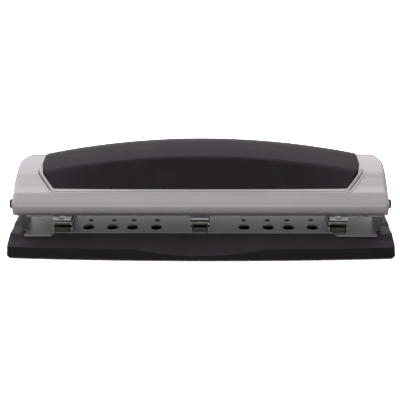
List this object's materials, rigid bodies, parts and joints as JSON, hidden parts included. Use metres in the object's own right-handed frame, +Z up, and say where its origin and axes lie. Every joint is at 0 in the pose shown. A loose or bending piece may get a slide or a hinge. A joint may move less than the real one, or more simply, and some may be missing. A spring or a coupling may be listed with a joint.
{
  "type": "three-hole paper punch",
  "caption": "Desktop paper punch with a long front-pivoted lever, soft grip, steel deck with spare hole positions, separate punch heads and a flared chip-collecting base",
  "frame": {"origin": "on the table, at the centre of the base's footprint", "axes": "X along the punch to the user's right, +Y to the back, +Z up; paper goes in from -Y"},
  "size_m": [0.3032, 0.112, 0.0786],
  "materials": {
    "base_plastic": "satin black moulded plastic",
    "foot_rubber": "matte black rubber",
    "deck_paint": "grey satin paint on stamped steel",
    "shell_silver": "silver-grey satin paint",
    "grip_black": "soft-touch black grip",
    "cap_black": "black domed plastic",
    "bright_steel": "bright drawn steel",
    "zinc_steel": "zinc plated steel",
    "plated_steel": "bright nickel plate",
    "tool_steel": "dark warm hardened steel",
    "punch_steel": "ground hardened steel",
    "spring_steel": "spring steel"
  },
  "bodies": {
    "base": {"base_tray": "base_plastic", "rubber_feet": "foot_rubber", "hinge_rods": "bright_steel"},
    "frame": {"deck_plate": "deck_paint", "left_pivot_pin": "bright_steel", "right_pivot_pin": "bright_steel", "left_pivot_cap": "cap_black", "right_pivot_cap": "cap_black", "pivot_push_nuts": "spring_steel", "left_die_block": "tool_steel", "left_locating_nib": "bright_steel", "left_head_frame": "plated_steel", "left_punch_guide": "tool_steel", "left_top_strap": "plated_steel", "left_return_spring": "spring_steel", "centre_die_block": "tool_steel", "centre_locating_nib": "bright_steel", "centre_head_frame": "plated_steel", "centre_punch_guide": "tool_steel", "centre_top_strap": "plated_steel", "centre_return_spring": "spring_steel", "right_die_block": "tool_steel", "right_locating_nib": "bright_steel", "right_head_frame": "plated_steel", "right_punch_guide": "tool_steel", "right_top_strap": "plated_steel", "right_return_spring": "spring_steel"},
    "lever": {"lever_shell": "shell_silver", "grip": "grip_black", "press_bar": "zinc_steel", "bar_screws": "zinc_steel", "grip_screws": "zinc_steel", "stop_pins": "bright_steel"},
    "left_punch": {"left_punch_pin": "punch_steel", "left_retaining_ring": "spring_steel"},
    "centre_punch": {"centre_punch_pin": "punch_steel", "centre_retaining_ring": "spring_steel"},
    "right_punch": {"right_punch_pin": "punch_steel", "right_retaining_ring": "spring_steel"}
  },
  "joints": [
    {"name": "frame_hinge", "type": "hinge", "parent": "base", "child": "frame", "pos_m": [0, 0.047, 0.0138], "axis": [-1, 0, 0], "range_deg": [0, 55]},
    {"name": "lever_hinge", "type": "hinge", "parent": "frame", "child": "lever", "pos_m": [0, -0.0435, 0.043], "axis": [-1, 0, 0], "range_deg": [0, 17], "stiffness_Nm_per_rad": 1, "springref_deg": -34.38},
    {"name": "left_punch_slide", "type": "slide", "parent": "frame", "child": "left_punch", "axis": [0, 0, -1], "range_m": [0, 0.00506], "deforming": ["left_return_spring"]},
    {"name": "centre_punch_slide", "type": "slide", "parent": "frame", "child": "centre_punch", "axis": [0, 0, -1], "range_m": [0, 0.00506], "deforming": ["centre_return_spring"]},
    {"name": "right_punch_slide", "type": "slide", "parent": "frame", "child": "right_punch", "axis": [0, 0, -1], "range_m": [0, 0.00506], "deforming": ["right_return_spring"]}
  ],
  "couplings": [
    {"joint": "left_punch_slide", "follows": "lever_hinge", "m_per_rad": 0.017053},
    {"joint": "centre_punch_slide", "follows": "lever_hinge", "m_per_rad": 0.017053},
    {"joint": "right_punch_slide", "follows": "lever_hinge", "m_per_rad": 0.017053}
  ]
}
